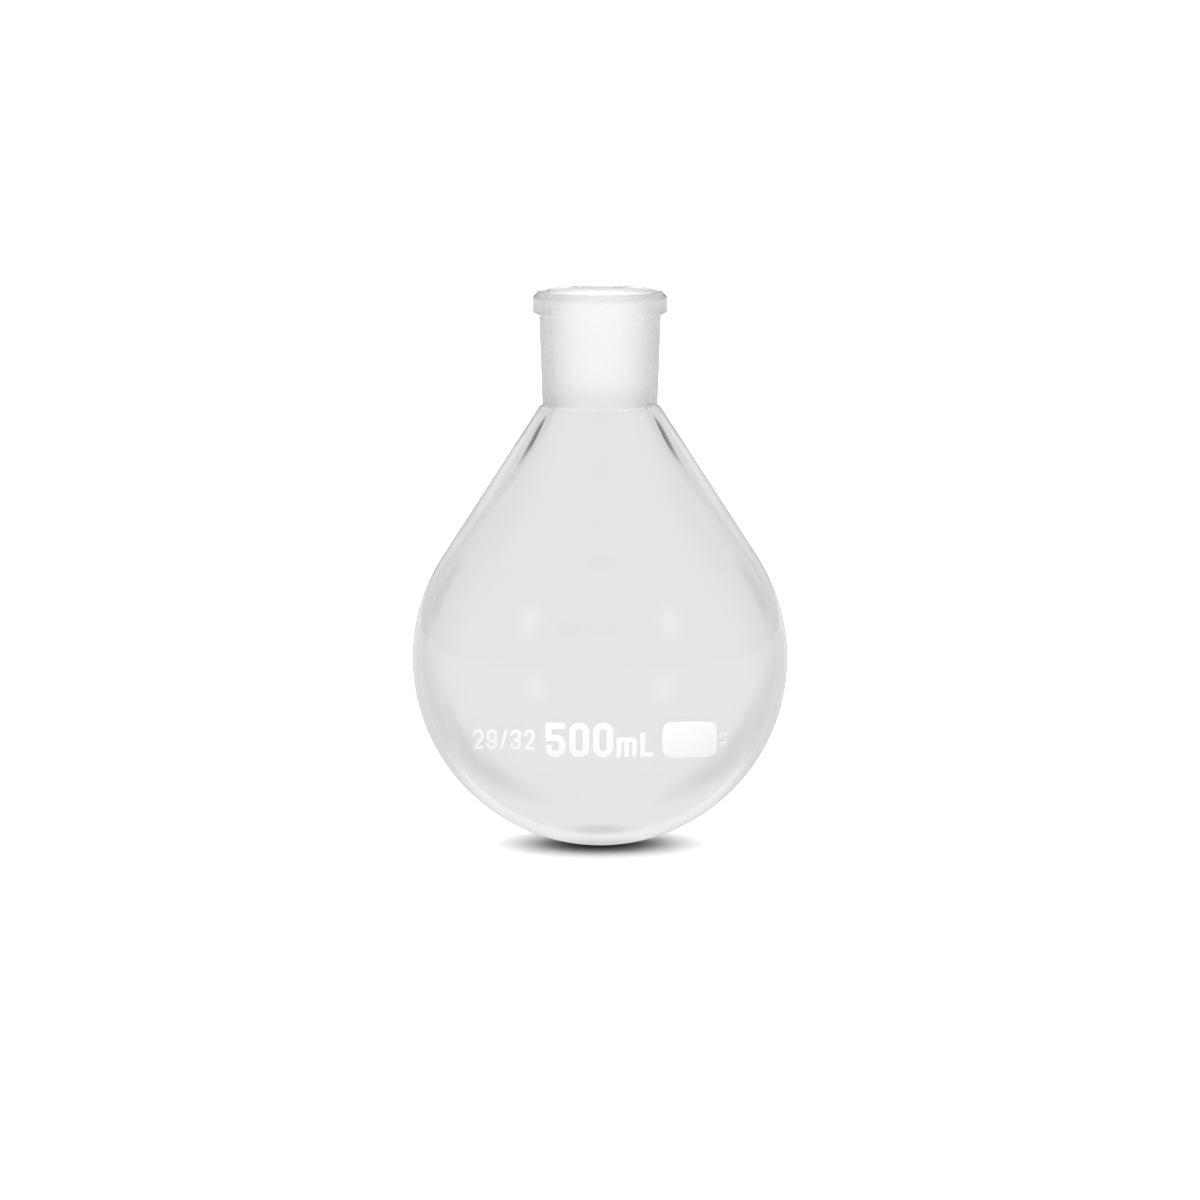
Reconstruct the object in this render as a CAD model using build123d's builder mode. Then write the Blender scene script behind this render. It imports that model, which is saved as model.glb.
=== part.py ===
from build123d import *
from math import cos, radians, sin, tan
import os

# Pear-shaped evaporating flask of 500 ml, blown in one piece of borosilicate glass.
# The body is a ball that runs up tangentially into a cone. The short neck on the cone is
# a ground socket of size 29/32: 29.2 mm wide at its mouth, tapering by 1 mm in every 10.
# White enamel marks are fired on the front of the ball.
# Lengths are in millimetres and angles in degrees. The origin is the centre of the
# socket's mouth, level with the top of the rim. +Z is up the axis, and the marks face -Y.

# Ball and cone
body_diameter = 105.0
body_wall = 2.8
cone_half_angle = 32.8
gather_wall = 4.3  # the wall of the cone is thickest here
gather_place = 0.62  # from the foot of the cone (0) to the shoulder (1)

# Ground socket and neck
socket_mouth_diameter = 29.2
socket_taper = 0.1
socket_length = 32.0
throat_half_angle = 22.0  # the wall below the neck opens at this angle
throat_round = 0.8
throat_rise = 0.6  # the throat starts at least this far above the neck's foot
neck_wall = 2.7  # at the mouth
neck_foot_wall = 3.1
neck_height = 32.2

# Shoulder, where the neck is sealed to the cone
shoulder_ledge = 0.7
shoulder_round = 0.5

# Rim
rim_diameter = 37.5
rim_top_diameter = 34.2
rim_top_drop = 1.7
rim_band_height = 4.3
rim_foot_drop = 0.9
rim_round = 0.5
mouth_bevel = 0.3

# Enamel marks, in one row that is centred on the axis
enamel_thickness = 0.1
row_angle = 25.2  # the row is this far below the ball's equator
row_tilt = 7.0  # the row faces this far above the horizontal, towards the reader

digit_height = 9.5
digit_width = 5.5
digit_stroke = 1.75
digit_gap = 1.05
unit_gap = 0.95
unit_m_height = 5.5
unit_m_width = 5.6
unit_l_height = 6.7
unit_l_width = 3.6
unit_stroke = 1.3

size_digit_height = 5.6
size_digit_width = 3.0
size_digit_stroke = 0.85
size_digit_gap = 0.75
size_mark_gap = 3.0

patch_width = 15.2
patch_height = 10.1
patch_bulge = 0.4
patch_round = 2.0
patch_gap = 2.4

glass_digit_height = 2.05
glass_digit_width = 1.3
glass_digit_stroke = 0.35
glass_digit_gap = 0.45
glass_mark_gap = 0.75

# The signs of the marks: each stroke is a run of corners, given across and up its box,
# from 0 to 1. The third number is 1 where the corner is a bowl and 0 where it is sharp.
round_share = 0.45  # a bowl's radius, as a share of the room that it has
slash_share = 0.7  # a slash's width, as a share of a digit's
strokes = {
    "0": [[(0, 0.5, 0), (0, 0, 1), (1, 0, 1), (1, 0.5, 0)], [(1, 0.5, 0), (1, 1, 1), (0, 1, 1), (0, 0.5, 0)]],
    "2": [[(0, 0.8, 0), (0, 1, 1), (1, 1, 1), (1, 0.6, 1), (0.1, 0, 0), (1, 0, 0)]],
    "3": [
        [(0, 0.8, 0), (0, 1, 1), (1, 1, 1), (1, 0.5, 1), (0.5, 0.5, 0)],
        [(0.5, 0.5, 0), (1, 0.5, 1), (1, 0, 1), (0, 0, 1), (0, 0.2, 0)],
    ],
    "5": [[(0.95, 1, 0), (0, 1, 0), (0, 0.57, 0), (1, 0.57, 1), (1, 0, 1), (0, 0, 1), (0, 0.2, 0)]],
    "9": [
        [(0, 0.7, 0), (0, 1, 1), (1, 1, 1), (1, 0, 1), (0, 0, 1), (0, 0.2, 0)],
        [(1, 0.7, 0), (1, 0.4, 1), (0, 0.4, 1), (0, 0.7, 0)],
    ],
    "/": [[(0, 0, 0), (1, 1, 0)]],
    ".": [[(0, 0, 0), (0, 0.02, 0)]],
    "m": [[(0, 0, 0), (0, 1, 0)], [(0, 1, 0), (0.5, 1, 1), (0.5, 0, 0)], [(0.5, 1, 0), (1, 1, 1), (1, 0, 0)]],
    "L": [[(0, 1, 0), (0, 0, 0), (1, 0, 0)]],
}

# What follows from these sizes
body_radius = body_diameter / 2
inner_radius = body_radius - body_wall
cone_angle = radians(cone_half_angle)
throat_angle = radians(throat_half_angle)
side_slope = socket_taper / 2
mouth_radius = socket_mouth_diameter / 2
rim_band_foot = rim_top_drop + rim_band_height
rim_foot = rim_band_foot + rim_foot_drop
neck_foot_radius = mouth_radius + neck_foot_wall - side_slope * neck_height
neck_slope = (mouth_radius + neck_wall - neck_foot_radius) / neck_height
shoulder_radius = neck_foot_radius + shoulder_ledge
ball_z = -neck_height - body_radius / sin(cone_angle) + shoulder_radius / tan(cone_angle)
below_equator = (cone_angle - radians(90)) / 2


def on_ball(radius, angle):
    """A point of the half section, on a circle about the ball's centre."""
    return (radius * cos(angle), ball_z + radius * sin(angle))


ball_bottom = (0, ball_z - body_radius)
cone_foot = on_ball(body_radius, cone_angle)
shoulder = (shoulder_radius, -neck_height)
neck_foot = (neck_foot_radius, -neck_height)
neck_top = (mouth_radius + neck_wall - neck_slope * rim_foot, -rim_foot)
rim_band_bottom = (rim_diameter / 2, -rim_band_foot)
rim_band_top = (rim_diameter / 2, -rim_top_drop)
rim_edge = (rim_diameter / 2, 0)
rim_top = (rim_top_diameter / 2, 0)
mouth_centre = (0, 0)
mouth_edge = (mouth_radius + mouth_bevel, 0)
socket_mouth = (mouth_radius - side_slope * mouth_bevel, -mouth_bevel)
socket_foot = (mouth_radius - side_slope * socket_length, -socket_length)
throat_depth = max(socket_length, neck_height - throat_rise)
throat = (socket_foot[0], -throat_depth)
inner_cone_foot = on_ball(inner_radius, cone_angle)
inner_bottom = (0, ball_z - inner_radius)

# The inside of the wall where it is thickest, straight in from a place on the cone
gather_r = cone_foot[0] + gather_place * (shoulder[0] - cone_foot[0])
gather_z = cone_foot[1] + gather_place * (shoulder[1] - cone_foot[1])
gather = (gather_r - gather_wall * cos(cone_angle), gather_z - gather_wall * sin(cone_angle))
up_the_cone = (-sin(cone_angle), cos(cone_angle))
up_the_throat = (-sin(throat_angle), cos(throat_angle))

os.makedirs("parts", exist_ok=True)


def corner(sketch, point):
    """The corner of a drawing that lies at a point."""
    return sketch.vertices().sort_by_distance((point[0], point[1], 0))[0]


# Flask: its half section, turned about the axis
with BuildPart() as flask:
    with BuildSketch(Plane.XZ) as section:
        # Outside, with a square rim
        with BuildLine():
            ThreePointArc(ball_bottom, on_ball(body_radius, below_equator), cone_foot)
            Polyline(cone_foot, shoulder, neck_foot, neck_top, rim_band_bottom, rim_edge)
            Polyline(rim_edge, mouth_centre, ball_bottom)
        make_face()
        # Bevel round the top of the rim
        with BuildLine():
            Polyline(rim_band_top, rim_edge, rim_top, close=True)
        make_face(mode=Mode.SUBTRACT)
        # Ground socket, with a small bevel at its mouth
        with BuildLine():
            Polyline(mouth_centre, mouth_edge, socket_mouth, socket_foot, (0, -socket_length), close=True)
        make_face(mode=Mode.SUBTRACT)
        # Bore, straight on from the socket's foot to the throat
        with BuildLine():
            Polyline(mouth_centre, (throat[0], 0), throat, (0, -throat_depth), close=True)
        make_face(mode=Mode.SUBTRACT)
        # Hollow of the cone and the ball
        with BuildLine():
            Spline(inner_cone_foot, gather, throat, tangents=(up_the_cone, up_the_throat))
            ThreePointArc(inner_bottom, on_ball(inner_radius, below_equator), inner_cone_foot)
            Polyline(inner_bottom, (0, -throat_depth), throat)
        make_face(mode=Mode.SUBTRACT)
        fillet(corner(section, shoulder), shoulder_round)
        fillet([corner(section, rim_band_top), corner(section, rim_band_bottom)], rim_round)
        fillet(corner(section, throat), throat_round)
    revolve(axis=Axis.Z)

# Each mark is drawn flat on a plane that faces the reader, and is the part of a thin skin
# on the ball that lies straight in front of its drawing.
tilt = radians(row_tilt)
to_reader = Vector(0, -cos(tilt), sin(tilt))
up_the_row = Vector(0, sin(tilt), cos(tilt))
row_middle = -body_radius * sin(radians(row_angle))
row_foot = row_middle - digit_height / 2


def drawing(across, up, rises=up_the_row):
    """The plane of a drawing whose origin is so far across and up from the ball's centre."""
    origin = Vector(across, 0, ball_z) + up_the_row * up
    return Plane(origin=origin, x_dir=rises.cross(to_reader), z_dir=to_reader)


def sign_width(sign, width, pen):
    return {".": pen, "/": slash_share * width}.get(sign, width)


def text_width(text, width, pen, gap):
    return sum(sign_width(sign, width, pen) for sign in text) + gap * (len(text) - 1)


def write(text, width, height, pen, gap=0.0):
    """Draws a row of signs, with strokes one pen wide that run on by half a pen at their ends."""
    left = 0.0
    for sign in text:
        across = sign_width(sign, width, pen) - pen
        up = height - pen
        bowl = round_share * min(width - pen, up / 2)
        for corners in strokes[sign]:
            path = [Vector(left + pen / 2 + u * across, pen / 2 + v * up) for u, v, _ in corners]
            path[0] -= (path[1] - path[0]).normalized() * pen / 2
            path[-1] -= (path[-2] - path[-1]).normalized() * pen / 2
            radii = [bowl * rounded for _, _, rounded in corners[1:-1]]
            with BuildLine() as run:
                FilletPolyline(*path, radius=radii) if any(radii) else Polyline(*path)
            trace(run.line, line_width=pen)
        left += across + pen + gap


def skin_in_front():
    """Keeps what lies in a skin on the ball, straight in front of the drawings."""
    extrude(amount=body_diameter, mode=Mode.ADD)
    with Locations((0, 0, ball_z)):
        Sphere(body_radius + enamel_thickness, mode=Mode.INTERSECT)
        Sphere(body_radius, mode=Mode.SUBTRACT)


size_mark_width = text_width("29/32", size_digit_width, size_digit_stroke, size_digit_gap)
number_width = text_width("500", digit_width, digit_stroke, digit_gap)
unit_m_place = number_width + unit_gap
unit_l_place = unit_m_place + unit_m_width + unit_gap
capacity_width = unit_l_place + unit_l_width
row_width = size_mark_width + size_mark_gap + capacity_width + patch_gap + patch_width
row_width += glass_mark_gap + glass_digit_height
capacity_place = size_mark_width + size_mark_gap - row_width / 2
patch_place = capacity_place + capacity_width + patch_gap
glass_mark_length = text_width("3.3", glass_digit_width, glass_digit_stroke, glass_digit_gap)

# Capacity mark: the number of millilitres and their sign
with BuildPart() as capacity_mark:
    with BuildSketch(drawing(capacity_place, row_foot)):
        write("500", digit_width, digit_height, digit_stroke, digit_gap)
    with BuildSketch(drawing(capacity_place + unit_m_place, row_foot)):
        write("m", unit_m_width, unit_m_height, unit_stroke)
    with BuildSketch(drawing(capacity_place + unit_l_place, row_foot)):
        write("L", unit_l_width, unit_l_height, unit_stroke)
    skin_in_front()

# Socket size mark: mouth diameter and length of the ground socket
with BuildPart() as socket_size_mark:
    with BuildSketch(drawing(-row_width / 2, row_middle - size_digit_height / 2)):
        write("29/32", size_digit_width, size_digit_height, size_digit_stroke, size_digit_gap)
    skin_in_front()

# Writing patch: a blank field for a pencil, with four slightly bulging sides
with BuildPart() as writing_patch:
    with BuildSketch(drawing(patch_place + patch_width / 2, row_middle)) as field:
        half_width = patch_width / 2 - patch_bulge
        half_height = patch_height / 2 - patch_bulge
        with BuildLine():
            ThreePointArc((-half_width, -half_height), (0, -patch_height / 2), (half_width, -half_height))
            ThreePointArc((half_width, -half_height), (patch_width / 2, 0), (half_width, half_height))
            ThreePointArc((half_width, half_height), (0, patch_height / 2), (-half_width, half_height))
            ThreePointArc((-half_width, half_height), (-patch_width / 2, 0), (-half_width, -half_height))
        make_face()
        fillet(field.vertices(), patch_round)
    skin_in_front()

# Glass type mark: small figures that read upwards, beside the patch
with BuildPart() as glass_type_mark:
    glass_mark_edge = patch_place + patch_width + glass_mark_gap + glass_digit_height
    across_the_row = up_the_row.cross(to_reader)
    with BuildSketch(drawing(glass_mark_edge, row_middle - glass_mark_length / 2, -across_the_row)):
        write("3.3", glass_digit_width, glass_digit_height, glass_digit_stroke, glass_digit_gap)
    skin_in_front()

flask.part.label = "flask"
export_step(flask.part, "parts/flask.step")
capacity_mark.part.label = "capacity_mark"
export_step(capacity_mark.part, "parts/capacity_mark.step")
socket_size_mark.part.label = "socket_size_mark"
export_step(socket_size_mark.part, "parts/socket_size_mark.step")
writing_patch.part.label = "writing_patch"
export_step(writing_patch.part, "parts/writing_patch.step")
glass_type_mark.part.label = "glass_type_mark"
export_step(glass_type_mark.part, "parts/glass_type_mark.step")
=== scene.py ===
from math import cos, pi, radians, sin, tan

import bmesh
import bpy
from mathutils import Matrix, Vector
from mathutils.geometry import interpolate_bezier


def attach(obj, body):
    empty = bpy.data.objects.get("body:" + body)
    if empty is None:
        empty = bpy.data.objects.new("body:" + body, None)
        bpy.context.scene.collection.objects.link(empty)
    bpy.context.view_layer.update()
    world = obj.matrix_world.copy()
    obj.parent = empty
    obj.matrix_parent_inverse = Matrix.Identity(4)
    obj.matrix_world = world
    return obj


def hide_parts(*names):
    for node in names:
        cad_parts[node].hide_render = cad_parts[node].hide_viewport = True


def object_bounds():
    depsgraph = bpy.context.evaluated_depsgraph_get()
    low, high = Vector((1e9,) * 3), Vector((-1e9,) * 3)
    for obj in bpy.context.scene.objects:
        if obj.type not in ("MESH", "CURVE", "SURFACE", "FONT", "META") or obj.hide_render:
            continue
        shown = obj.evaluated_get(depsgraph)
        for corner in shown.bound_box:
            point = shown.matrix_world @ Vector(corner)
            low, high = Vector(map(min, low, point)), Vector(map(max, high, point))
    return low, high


# Pear-shaped flask of clear glass with a ground neck and white enamel marks.
# Everything is in metres, with the origin in the middle of the flask's mouth.
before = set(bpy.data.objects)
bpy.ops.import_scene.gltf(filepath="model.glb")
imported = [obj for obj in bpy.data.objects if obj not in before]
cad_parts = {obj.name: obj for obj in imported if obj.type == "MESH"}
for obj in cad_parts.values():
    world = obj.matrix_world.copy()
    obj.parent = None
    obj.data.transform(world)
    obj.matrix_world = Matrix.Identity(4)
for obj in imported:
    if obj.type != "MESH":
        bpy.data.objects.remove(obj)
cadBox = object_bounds()
print("frame loaded:", sorted(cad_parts))


# Shader helpers

class Value:  # a socket that can be used in sums
    def __init__(self, tree, socket):
        self.tree = tree
        self.socket = socket

    def maths(self, operation, first, second):
        return self.tree.node("ShaderNodeMath", {"operation": operation}, {0: first, 1: second})[0]

    def __add__(self, other):
        return self.maths("ADD", self, other)

    def __radd__(self, other):
        return self.maths("ADD", other, self)

    def __sub__(self, other):
        return self.maths("SUBTRACT", self, other)

    def __rsub__(self, other):
        return self.maths("SUBTRACT", other, self)

    def __mul__(self, other):
        return self.maths("MULTIPLY", self, other)

    def __rmul__(self, other):
        return self.maths("MULTIPLY", other, self)


class Tree:  # a node tree, with one way to add any node
    def __init__(self, nodeTree):
        self.nodeTree = nodeTree
        self.nodeTree.nodes.clear()

    def node(self, kind, settings=None, sockets=None):
        made = self.nodeTree.nodes.new(kind)
        for name, setting in (settings or {}).items():
            setattr(made, name, setting)
        for name, given in (sockets or {}).items():
            if isinstance(given, Value):
                self.nodeTree.links.new(given.socket, made.inputs[name])
            else:
                made.inputs[name].default_value = given
        return Outputs(self, made)


class Outputs:  # a node's outputs, by name or number
    def __init__(self, tree, made):
        self.tree = tree
        self.made = made

    def __getitem__(self, name):
        return Value(self.tree, self.made.outputs[name])


def newMaterial(name):
    material = bpy.data.materials.new(name)
    material.use_nodes = True
    return material, Tree(material.node_tree)


def place(tree, scale=(1, 1, 1)):  # object coordinates, stretched
    coordinates = tree.node("ShaderNodeTexCoord")["Object"]
    return tree.node("ShaderNodeMapping", {}, {"Vector": coordinates, "Scale": scale})["Vector"]


def fromAxis(tree):  # the distance from the flask's axis
    return tree.node("ShaderNodeVectorMath", {"operation": "LENGTH"}, {0: place(tree, (1, 1, 0))})["Value"]


def noise(tree, look, stretch=(1, 1, 1)):
    return tree.node("ShaderNodeTexNoise", {}, {"Vector": place(tree, stretch), **look})["Fac"]


def ramp(tree, value, low, high):  # rises smoothly from 0 to 1
    return tree.node("ShaderNodeMapRange", {"interpolation_type": "SMOOTHSTEP"}, {
        "Value": value, "From Min": low, "From Max": high})["Result"]


def stepAt(tree, value, edge, width):  # 0 below the edge and 1 above it
    return ramp(tree, value, edge - width / 2, edge + width / 2)


def blend(tree, factor, first, second):  # from the first colour to the second
    return tree.node("ShaderNodeMix", {"data_type": "RGBA"}, {0: factor, 6: first, 7: second})[2]


def between(tree, value, edges):  # 1 between the inner edges, and 0 outside the outer ones
    return ramp(tree, value, edges[0], edges[1]) - ramp(tree, value, edges[2], edges[3])


# Glass body

flaskSizes = {
    "bodyRadius": 0.05248,  # a hair inside the enamel's inner faces
    "bodyWall": 0.0028,
    "coneHalfAngle": radians(32.8),
    "gatherWall": 0.0043,  # where the glass is thickest, below the shoulder
    "gatherPlace": 0.62,  # its share of the way up the cone
    "mouthRadius": 0.0146,
    "socketSlope": 0.05,
    "socketLength": 0.032,
    "throatHalfAngle": radians(22.0),
    "throatRound": 0.0008,
    "neckWall": 0.0027,  # at the mouth
    "neckFootWall": 0.0031,
    "neckHeight": 0.0322,
    "shoulderLedge": 0.0007,
    "rimRadius": 0.01875,
    "rimTopRadius": 0.0171,
    "rimTopDrop": 0.0017,
    "rimBandFoot": 0.006,
    "rimFoot": 0.0069,
    "mouthBevel": 0.0003,
    "bigRound": 0.0005,
    "smallRound": 0.0002,
    "stepsRound": 240,
    "arcStep": radians(1.6),
    "lineStep": 0.0013,
    "curveSteps": 24,
    "roundSegments": 5,
    "weld": 1e-6,
}


def onBall(radius, angle):  # a point of the half section, on a circle about the ball's centre
    return Vector((radius * cos(angle), 0, flaskSizes["ballZ"] + radius * sin(angle)))


def sectionPlaces():  # the corners of the half section
    s = flaskSizes
    neckMouthRadius = s["mouthRadius"] + s["neckWall"]
    neckFootRadius = s["mouthRadius"] + s["neckFootWall"] - s["socketSlope"] * s["neckHeight"]
    shoulderRadius = neckFootRadius + s["shoulderLedge"]
    cone = s["coneHalfAngle"]
    s["ballZ"] = -s["neckHeight"] - s["bodyRadius"] / sin(cone) + shoulderRadius / tan(cone)
    s["innerRadius"] = s["bodyRadius"] - s["bodyWall"]
    coneFoot = onBall(s["bodyRadius"], cone)
    shoulder = Vector((shoulderRadius, 0, -s["neckHeight"]))
    gather = coneFoot.lerp(shoulder, s["gatherPlace"]) - s["gatherWall"] * Vector((cos(cone), 0, sin(cone)))
    socketFootRadius = s["mouthRadius"] - s["socketSlope"] * s["socketLength"]
    neckTopRadius = neckMouthRadius - (neckMouthRadius - neckFootRadius) * s["rimFoot"] / s["neckHeight"]
    return {
        "coneFoot": coneFoot,
        "shoulder": shoulder,
        "neckFoot": Vector((neckFootRadius, 0, -s["neckHeight"])),
        "neckTop": Vector((neckTopRadius, 0, -s["rimFoot"])),
        "rimBandBottom": Vector((s["rimRadius"], 0, -s["rimBandFoot"])),
        "rimBandTop": Vector((s["rimRadius"], 0, -s["rimTopDrop"])),
        "rimTop": Vector((s["rimTopRadius"], 0, 0)),
        "mouthEdge": Vector((s["mouthRadius"] + s["mouthBevel"], 0, 0)),
        "socketMouth": Vector((s["mouthRadius"] - s["socketSlope"] * s["mouthBevel"], 0, -s["mouthBevel"])),
        "socketFoot": Vector((socketFootRadius, 0, -s["socketLength"])),
        "gather": gather,
        "innerConeFoot": onBall(s["innerRadius"], cone),
    }


def addArc(bm, start, angle):  # turns a vertex about the ball's centre, and gives the last vertex of the arc
    steps = max(2, round(abs(angle) / flaskSizes["arcStep"]))
    centre = (0, 0, flaskSizes["ballZ"])
    turned = bmesh.ops.spin(bm, geom=[start], cent=centre, axis=(0, 1, 0), angle=-angle, steps=steps)
    return turned["geom_last"][0]


def addLine(bm, start, finish, rounding=None):  # a straight edge from a vertex to a point
    end = bm.verts.new(finish)
    bm.edges.new((start, end))
    if rounding:
        roundings.append((Vector(finish), rounding))
    return end


def addCurve(bm, start, points, firstWay, lastWay, steps):  # smooth, through three points
    first, middle, last = points
    before, after = (middle - first).length, (last - middle).length
    pull = 3 * (after * (middle - first) / before + before * (last - middle) / after)
    middleWay = (pull - after * firstWay - before * lastWay) / (2 * (before + after))
    spans = ((first, firstWay, middle, middleWay, before), (middle, middleWay, last, lastWay, after))
    for a, aWay, b, bWay, length in spans:
        onCurve = interpolate_bezier(a, a + aWay * length / 3, b - bWay * length / 3, b, steps + 1)
        for point in onCurve[1:]:
            start = addLine(bm, start, point)
    return start


roundings = []  # the corners that are rounded, with their radii


def roundCorners(bm):  # a round starts as far from its corner as its radius and the turn there need
    for sharp, radius in roundings:
        bm.verts.ensure_lookup_table()
        corner = min(bm.verts, key=lambda vertex: (vertex.co - sharp).length)
        ways = [(edge.other_vert(corner).co - corner.co).normalized() for edge in corner.link_edges]
        offset = radius * tan((pi - ways[0].angle(ways[1])) / 2)
        bmesh.ops.bevel(bm, geom=[corner], offset=offset, offset_type="OFFSET", affect="VERTICES",
                        segments=flaskSizes["roundSegments"], profile=0.5, material=-1)


def makeFlask():
    s = flaskSizes
    at = sectionPlaces()
    cone = s["coneHalfAngle"]
    bm = bmesh.new()

    bottom = bm.verts.new(onBall(s["bodyRadius"], -pi / 2))
    end = addArc(bm, bottom, pi / 2 + cone)
    end = addLine(bm, end, at["shoulder"], s["bigRound"])
    end = addLine(bm, end, at["neckFoot"], s["bigRound"])
    end = addLine(bm, end, at["neckTop"], s["smallRound"])
    end = addLine(bm, end, at["rimBandBottom"], s["bigRound"])
    end = addLine(bm, end, at["rimBandTop"], s["bigRound"])
    end = addLine(bm, end, at["rimTop"], s["bigRound"])
    end = addLine(bm, end, at["mouthEdge"], s["smallRound"] / 2)
    end = addLine(bm, end, at["socketMouth"], s["smallRound"] / 2)
    end = addLine(bm, end, at["socketFoot"], s["throatRound"])
    downTheThroat = Vector((sin(s["throatHalfAngle"]), 0, -cos(s["throatHalfAngle"])))
    downTheCone = Vector((sin(cone), 0, -cos(cone)))
    path = (at["socketFoot"], at["gather"], at["innerConeFoot"])
    end = addCurve(bm, end, path, downTheThroat, downTheCone, s["curveSteps"])
    addArc(bm, end, -pi / 2 - cone)

    longEdges = [edge for edge in bm.edges if edge.calc_length() > 2 * s["lineStep"]]
    for edge in longEdges:
        cuts = round(edge.calc_length() / s["lineStep"]) - 1
        bmesh.ops.subdivide_edges(bm, edges=[edge], cuts=cuts)
    roundCorners(bm)

    section = bm.verts[:] + bm.edges[:]
    bmesh.ops.spin(bm, geom=section, axis=(0, 0, 1), cent=(0, 0, 0), angle=2 * pi,
                   steps=s["stepsRound"], use_merge=True)
    bmesh.ops.remove_doubles(bm, verts=bm.verts[:], dist=s["weld"])
    bmesh.ops.recalc_face_normals(bm, faces=bm.faces[:])
    for face in bm.faces:
        face.smooth = True

    mesh = bpy.data.meshes.new("flaskGlass")
    bm.to_mesh(mesh)
    bm.free()
    piece = bpy.data.objects.new("flaskGlass", mesh)
    bpy.context.scene.collection.objects.link(piece)
    weighting = piece.modifiers.new("evenNormals", "WEIGHTED_NORMAL")
    weighting.mode = "FACE_AREA"
    print("flask glass:", len(mesh.vertices), "vertices,", len(mesh.polygons), "faces")
    return piece


glass = {
    "bodyColour": (0.86, 0.862, 0.862, 1),
    # painted light: the neck's glass is untinted and lighter than the body, standing in for the light its
    # ground bore scatters
    "neckColour": (1.0, 1.0, 1.0, 1),
    "grainColour": (0.95, 0.95, 0.95, 1),
    "ior": 1.474,
    "absorption": 0.5,
    "waves": {"Scale": 45.0, "Detail": 1.0, "Roughness": 0.4},  # the slight waves of blown glass
    "waveStretch": (1, 1, 0.35),
    "waveHeight": 0.00004,
    "boreReach": 0.0153,  # between the ground bore and the outside of the neck
    "boreEdge": 0.0001,
    "grindingEdge": 0.0004,
    "groundRoughness": (0.5, 0.6),
    "grain": {"Scale": 1500.0, "Detail": 2.0, "Roughness": 0.7},  # the grain of the ground bore
    "grainHeight": 0.00002,
    "speckle": (0.35, 0.65),
}


def makeGlass():
    g = glass
    material, tree = newMaterial("clearGlass")
    height = tree.node("ShaderNodeSeparateXYZ", {}, {0: place(tree)})["Z"]
    inside = 1 - stepAt(tree, fromAxis(tree), g["boreReach"], g["boreEdge"])
    aboveFoot = stepAt(tree, height, -flaskSizes["socketLength"], g["grindingEdge"])
    belowMouth = 1 - stepAt(tree, height, -flaskSizes["mouthBevel"], g["grindingEdge"])
    ground = inside * aboveFoot * belowMouth
    neck = stepAt(tree, height, -flaskSizes["neckHeight"], flaskSizes["bigRound"])

    waves = noise(tree, g["waves"], g["waveStretch"])
    grain = noise(tree, g["grain"])
    relief = waves * g["waveHeight"] * (1 - ground) + grain * g["grainHeight"] * ground
    bump = tree.node("ShaderNodeBump", {}, {"Height": relief, "Distance": 1.0, "Strength": 1.0})
    speckle = ramp(tree, grain, *g["speckle"])
    # painted light: the whole neck takes the lighter, untinted glass colour, with the ground grain's speckle
    # on its bore
    neckColour = blend(tree, ground * speckle, g["neckColour"], g["grainColour"])
    smooth, rough = g["groundRoughness"]
    clear = tree.node("ShaderNodeBsdfPrincipled", {"distribution": "MULTI_GGX"}, {
        "Base Color": blend(tree, neck, g["bodyColour"], neckColour),
        "Roughness": ground * (smooth + (rough - smooth) * speckle),
        "IOR": g["ior"], "Transmission Weight": 1.0, "Normal": bump["Normal"]})
    depth = tree.node("ShaderNodeVolumeAbsorption", {}, {
        "Color": (0.0, 0.0, 0.0, 1), "Density": g["absorption"]})
    tree.node("ShaderNodeOutputMaterial", {}, {"Surface": clear["BSDF"], "Volume": depth["Volume"]})
    return material


flask = makeFlask()
flask.data.materials.append(makeGlass())
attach(flask, "root")
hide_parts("flask")
print("clear glass: done")


# Enamel marks

enamel = {
    "colour": (0.96, 0.96, 0.955, 1),
    "deepColour": (0.93, 0.93, 0.925, 1),
    "cloud": {"Scale": 700.0, "Detail": 3.0, "Roughness": 0.6},
    "cloudDepth": 0.6,
    "roughness": (0.3, 0.55),
    "grain": {"Scale": 1800.0, "Detail": 4.0, "Roughness": 0.65},
    "grainHeight": 0.00001,
}


def makeEnamel():
    e = enamel
    material, tree = newMaterial("whiteEnamel")
    cloud = noise(tree, e["cloud"])
    grain = noise(tree, e["grain"])
    bump = tree.node("ShaderNodeBump", {}, {"Height": grain, "Distance": e["grainHeight"], "Strength": 1.0})
    smooth, rough = e["roughness"]
    glaze = tree.node("ShaderNodeBsdfPrincipled", {}, {
        "Base Color": blend(tree, cloud * e["cloudDepth"], e["colour"], e["deepColour"]),
        "Roughness": smooth + (rough - smooth) * grain, "Normal": bump["Normal"]})
    tree.node("ShaderNodeOutputMaterial", {}, {"Surface": glaze["BSDF"]})
    return material


enamelMaterial = makeEnamel()
markNames = ("capacity_mark", "socket_size_mark", "writing_patch", "glass_type_mark")
marks = [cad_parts[name] for name in markNames]
for mark in marks:
    mark.material_slots[0].material = enamelMaterial
print("enamel marks: done")


# Floor, light and camera

studio = {
    "level": 1.0,  # the light on plain surfaces
    "room": 0.25,  # what reflections see
    "panelSides": (0.08, 0.13),  # a white panel behind, seen in reflections alone
    "panelHeights": (0.0, 0.03, 0.3, 0.4),
    "cardSides": (radians(14), radians(26), radians(62), radians(75)),  # grey cards behind, left and right
    "cardShade": 0.22,
    "throughGlass": 1.09,  # what shows through the glass
    "ceiling": 0.95,  # the share of it straight above
    "ceilingHeights": (0.1, 0.7),
    "flagSides": (radians(33), radians(42), radians(47), radians(50)),  # dark flags, for the shoulder's lines
    "flagHeights": (0.0, 0.14, 0.28, 0.4),
    "flagDepth": 0.74,
}


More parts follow.
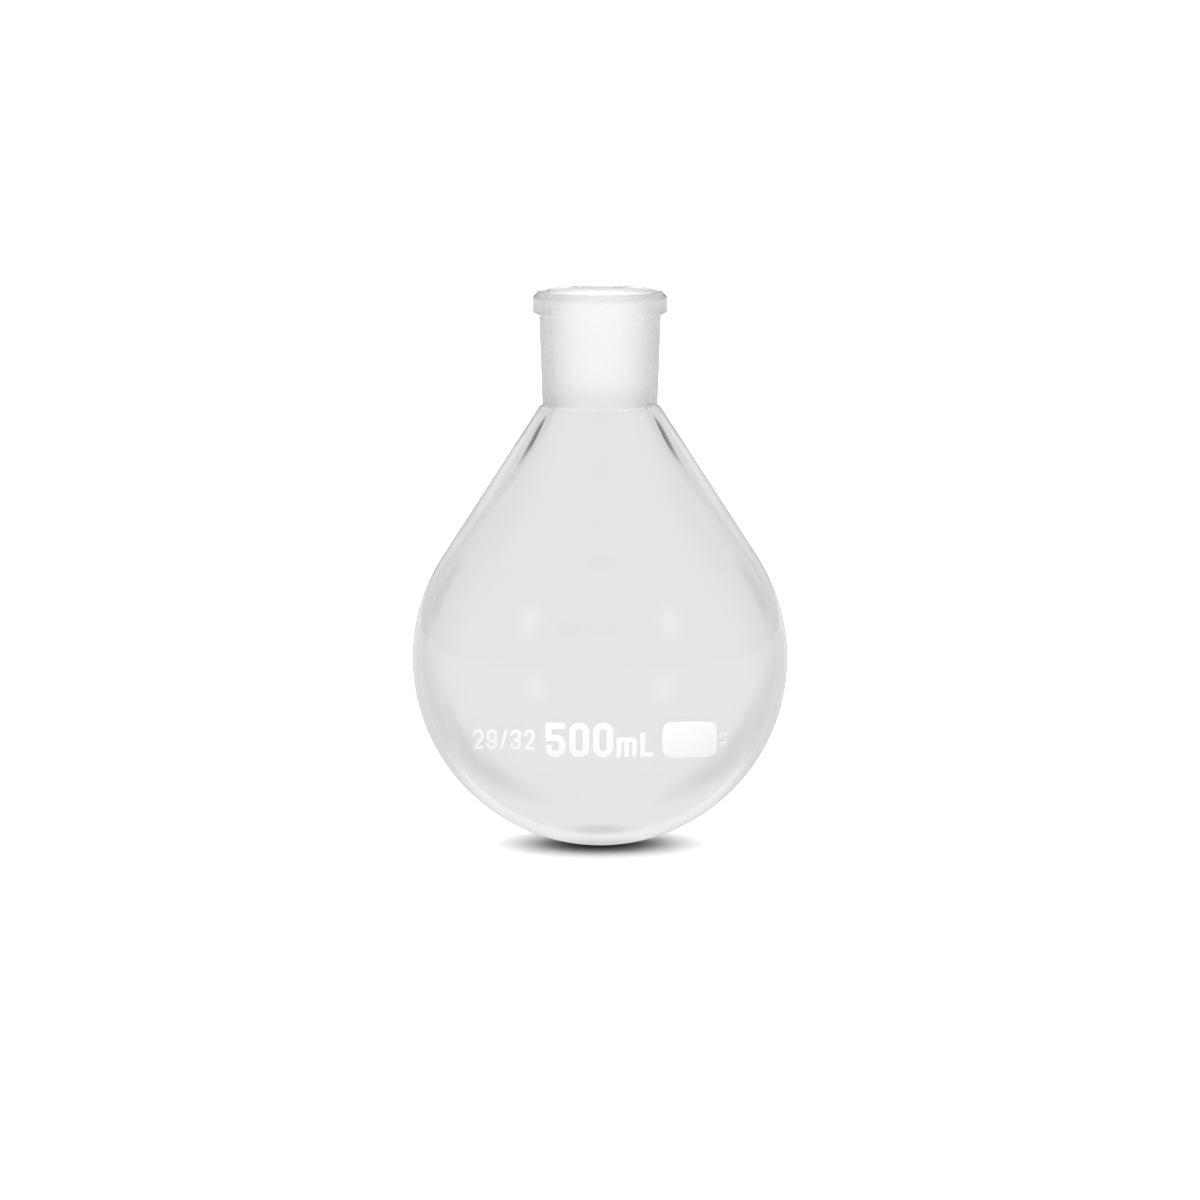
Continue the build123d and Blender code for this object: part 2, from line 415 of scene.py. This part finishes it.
def sideways(tree, direction):  # how far a direction is turned to the left or right of straight behind
    aside = tree.node("ShaderNodeMath", {"operation": "ABSOLUTE"}, {0: direction["X"]})[0]
    return tree.node("ShaderNodeMath", {"operation": "ARCTAN2"}, {0: aside, 1: direction["Y"]})[0]


def reflectedOnly(tree, path):  # 1 for what mirrors in the outside of the glass, 0 for what shows through
    through = path["Transmission Depth"]
    outside = tree.node("ShaderNodeMath", {"operation": "LESS_THAN"}, {0: through, 1: 0.5})[0]
    return path["Is Glossy Ray"] * outside


floorSizes = {
    "radius": 4.0,
    "segments": 96,
    "seenColour": 3.0,  # white round the flask, apart from its shadow
    "contactColour": 0.8,  # painted shadow: the floor under the flask is darker here, deepening its real shadow
    "contactEdge": (0.006, 0.024),
    "plainColour": 0.8,  # what the floor throws back onto other things
    "reflectedLevel": 0.6,
    "contactShade": 0.4,  # painted shadow round the foot of the flask, on the floor's light seen through the glass
    "contactThrough": (0.004, 0.013),  # its edge there
    "cardFoot": (0.035, 0.1),  # where the painted shade of the side cards on the floor begins
}


def makeFloor():
    f = floorSizes
    bm = bmesh.new()
    bmesh.ops.create_circle(bm, cap_ends=True, segments=f["segments"], radius=f["radius"],
                            matrix=Matrix.Translation((0, 0, cadBox[0].z)))
    mesh = bpy.data.meshes.new("floor")
    bm.to_mesh(mesh)
    bm.free()
    floor = bpy.data.objects.new("floor", mesh)
    bpy.context.scene.collection.objects.link(floor)
    material, tree = newMaterial("floorWhite")
    path = tree.node("ShaderNodeLightPath")
    onFloor = tree.node("ShaderNodeSeparateXYZ", {}, {0: place(tree)})
    fromFlask = fromAxis(tree)
    # painted shadow: for the camera, the floor's colour darkens round the foot of the flask
    paintedShadow = 1 - ramp(tree, fromFlask, *f["contactEdge"])
    seen = f["seenColour"] + (f["contactColour"] - f["seenColour"]) * paintedShadow
    colour = f["plainColour"] + (seen - f["plainColour"]) * path["Is Camera Ray"]
    grey = tree.node("ShaderNodeCombineColor", {}, {0: colour, 1: colour, 2: colour})
    paper = tree.node("ShaderNodeBsdfDiffuse", {}, {"Color": grey["Color"]})
    reflected = reflectedOnly(tree, path)
    # painted shade: the floor's light seen through the glass is darker in the side cards' directions
    paintedCardShade = between(tree, sideways(tree, onFloor), studio["cardSides"]) * ramp(tree, fromFlask, *f["cardFoot"])
    # painted shadow, darkening the floor's light seen through the glass round the foot of the flask
    paintedShadowThrough = 1 - ramp(tree, fromFlask, *f["contactThrough"])
    through = studio["throughGlass"] * (1 - studio["cardShade"] * paintedCardShade)
    through = through * (1 - f["contactShade"] * paintedShadowThrough)
    level = through + (f["reflectedLevel"] - through) * reflected
    white = tree.node("ShaderNodeEmission", {}, {"Color": (1, 1, 1, 1), "Strength": level})
    inGlass = tree.node("ShaderNodeMath", {"operation": "MAXIMUM"}, {
        0: path["Is Glossy Ray"], 1: path["Is Transmission Ray"]})
    mixed = tree.node("ShaderNodeMixShader", {}, {"Fac": inGlass[0], 1: paper["BSDF"], 2: white["Emission"]})
    tree.node("ShaderNodeOutputMaterial", {}, {"Surface": mixed["Shader"]})
    mesh.materials.append(material)
    return floor


def makeWorld():
    w = studio
    world = bpy.data.worlds.new("studio")
    world.use_nodes = True
    bpy.context.scene.world = world
    tree = Tree(world.node_tree)
    direction = tree.node("ShaderNodeSeparateXYZ", {}, {0: tree.node("ShaderNodeTexCoord")["Generated"]})
    turn = sideways(tree, direction)
    flags = between(tree, turn, w["flagSides"]) * between(tree, direction["Z"], w["flagHeights"])
    up = ramp(tree, direction["Z"], *w["ceilingHeights"])
    cards = between(tree, turn, w["cardSides"])
    backdrop = w["throughGlass"] * (1 - (1 - w["ceiling"]) * up)
    backdrop = backdrop * (1 - w["flagDepth"] * flags) * (1 - w["cardShade"] * cards)
    path = tree.node("ShaderNodeLightPath")
    reflected = reflectedOnly(tree, path)
    panel = between(tree, direction["Z"], w["panelHeights"]) * (1 - ramp(tree, turn, *w["panelSides"]))
    room = w["room"] + (1 - w["room"]) * panel
    level = backdrop + reflected * (room - backdrop)
    level = level + path["Is Diffuse Ray"] * (w["level"] - level)
    strength = level + path["Is Camera Ray"] * (1 - level)
    background = tree.node("ShaderNodeBackground", {}, {"Color": (1, 1, 1, 1), "Strength": strength})
    tree.node("ShaderNodeOutputWorld", {}, {"Surface": background["Background"]})


def collect(name, pieces):
    collection = bpy.data.collections.new(name)
    for piece in pieces:
        collection.objects.link(piece)
    return collection


floor = makeFloor()
flaskAndPrint = collect("flaskAndPrint", [flask] + marks)
printOnly = collect("printOnly", marks)
floorOnly = collect("floorOnly", [floor])


def makeLamp(name, shape, direction, distance, power, receivers):  # shines at the middle of the ball
    data = bpy.data.lights.new(name, "AREA")
    data.shape = shape
    data.energy = power
    lamp = bpy.data.objects.new(name, data)
    way = Vector(direction).normalized()
    lamp.location = Vector((0, 0, flaskSizes["ballZ"])) + way * distance
    lamp.rotation_euler = way.to_track_quat("Z", "Y").to_euler()
    lamp.light_linking.receiver_collection = receivers  # the lamps leave the floor and its shadow alone
    bpy.context.scene.collection.objects.link(lamp)
    return lamp


softbox = {
    "directions": {"left": (-0.674, -0.611, 0.418), "right": (0.674, -0.611, 0.418)},
    "distance": 1.5,
    "size": (0.6, 0.75),
    "power": 1.0,
}


def makeSoftboxes():  # mirrored as soft spots in the ball
    b = softbox
    for side, direction in b["directions"].items():
        lamp = makeLamp(side + "Softbox", "ELLIPSE", direction, b["distance"], b["power"], flaskAndPrint)
        data = lamp.data
        data.size, data.size_y = b["size"]
        data.use_nodes = True
        tree = Tree(data.node_tree)
        spot = tree.node("ShaderNodeNewGeometry")["Parametric"]
        middle = tree.node("ShaderNodeVectorMath", {"operation": "DISTANCE"}, {0: spot, 1: (0.5, 0.5, 0)})
        glow = tree.node("ShaderNodeEmission", {}, {"Strength": 1 - ramp(tree, middle["Value"], 0.0, 0.5)})
        tree.node("ShaderNodeOutputLight", {}, {"Surface": glow["Emission"]})


fill = {
    "directions": {"front": (0, -0.97, 0.24), "back": (0, 0.97, 0.24)},
    "powers": {"front": 9.0, "back": 20.0},
    "distance": 1.6,
    "size": 1.2,
}


def makeFills():  # light the print from both sides, and aren't mirrored in the glass
    for side, direction in fill["directions"].items():
        lamp = makeLamp(side + "Fill", "DISK", direction, fill["distance"], fill["powers"][side], printOnly)
        lamp.data.size = fill["size"]
        lamp.visible_glossy = False
        lamp.visible_transmission = False
        lamp.light_linking.blocker_collection = floorOnly  # the glass casts no shadow on its print


photo = {
    "elevation": radians(7.0),
    "frameWidth": 0.3353,  # in metres, at the flask
    "distance": 2.8,
    "ballRow": 657.5,  # the row of pixels at the ball's middle
    "pixels": 1200,
    "sensor": 36,
    "farthest": 20,
}


def makeCamera():
    p = photo
    metresPerPixel = p["frameWidth"] / p["pixels"]
    above = (p["ballRow"] - p["pixels"] / 2) * metresPerPixel / cos(p["elevation"])
    target = Vector((0, 0, flaskSizes["ballZ"] + above))
    back = Vector((0, -cos(p["elevation"]), sin(p["elevation"])))
    data = bpy.data.cameras.new("camera")
    data.sensor_width = p["sensor"]
    data.lens = data.sensor_width * p["distance"] / p["frameWidth"]
    data.clip_end = p["farthest"]
    camera = bpy.data.objects.new("camera", data)
    camera.location = target + back * p["distance"]
    camera.rotation_euler = back.to_track_quat("Z", "Y").to_euler()
    bpy.context.scene.collection.objects.link(camera)
    bpy.context.scene.camera = camera


makeWorld()
makeSoftboxes()
makeFills()
makeCamera()
print("floor, light and camera: done")

scene = bpy.context.scene
scene.view_settings.view_transform = "Standard"
scene.cycles.caustics_reflective = False
scene.cycles.caustics_refractive = False
scene.cycles.max_bounces = 24
scene.cycles.transmission_bounces = 24
scene.cycles.glossy_bounces = 12
scene.cycles.transparent_max_bounces = 16

bpy.context.view_layer.update()
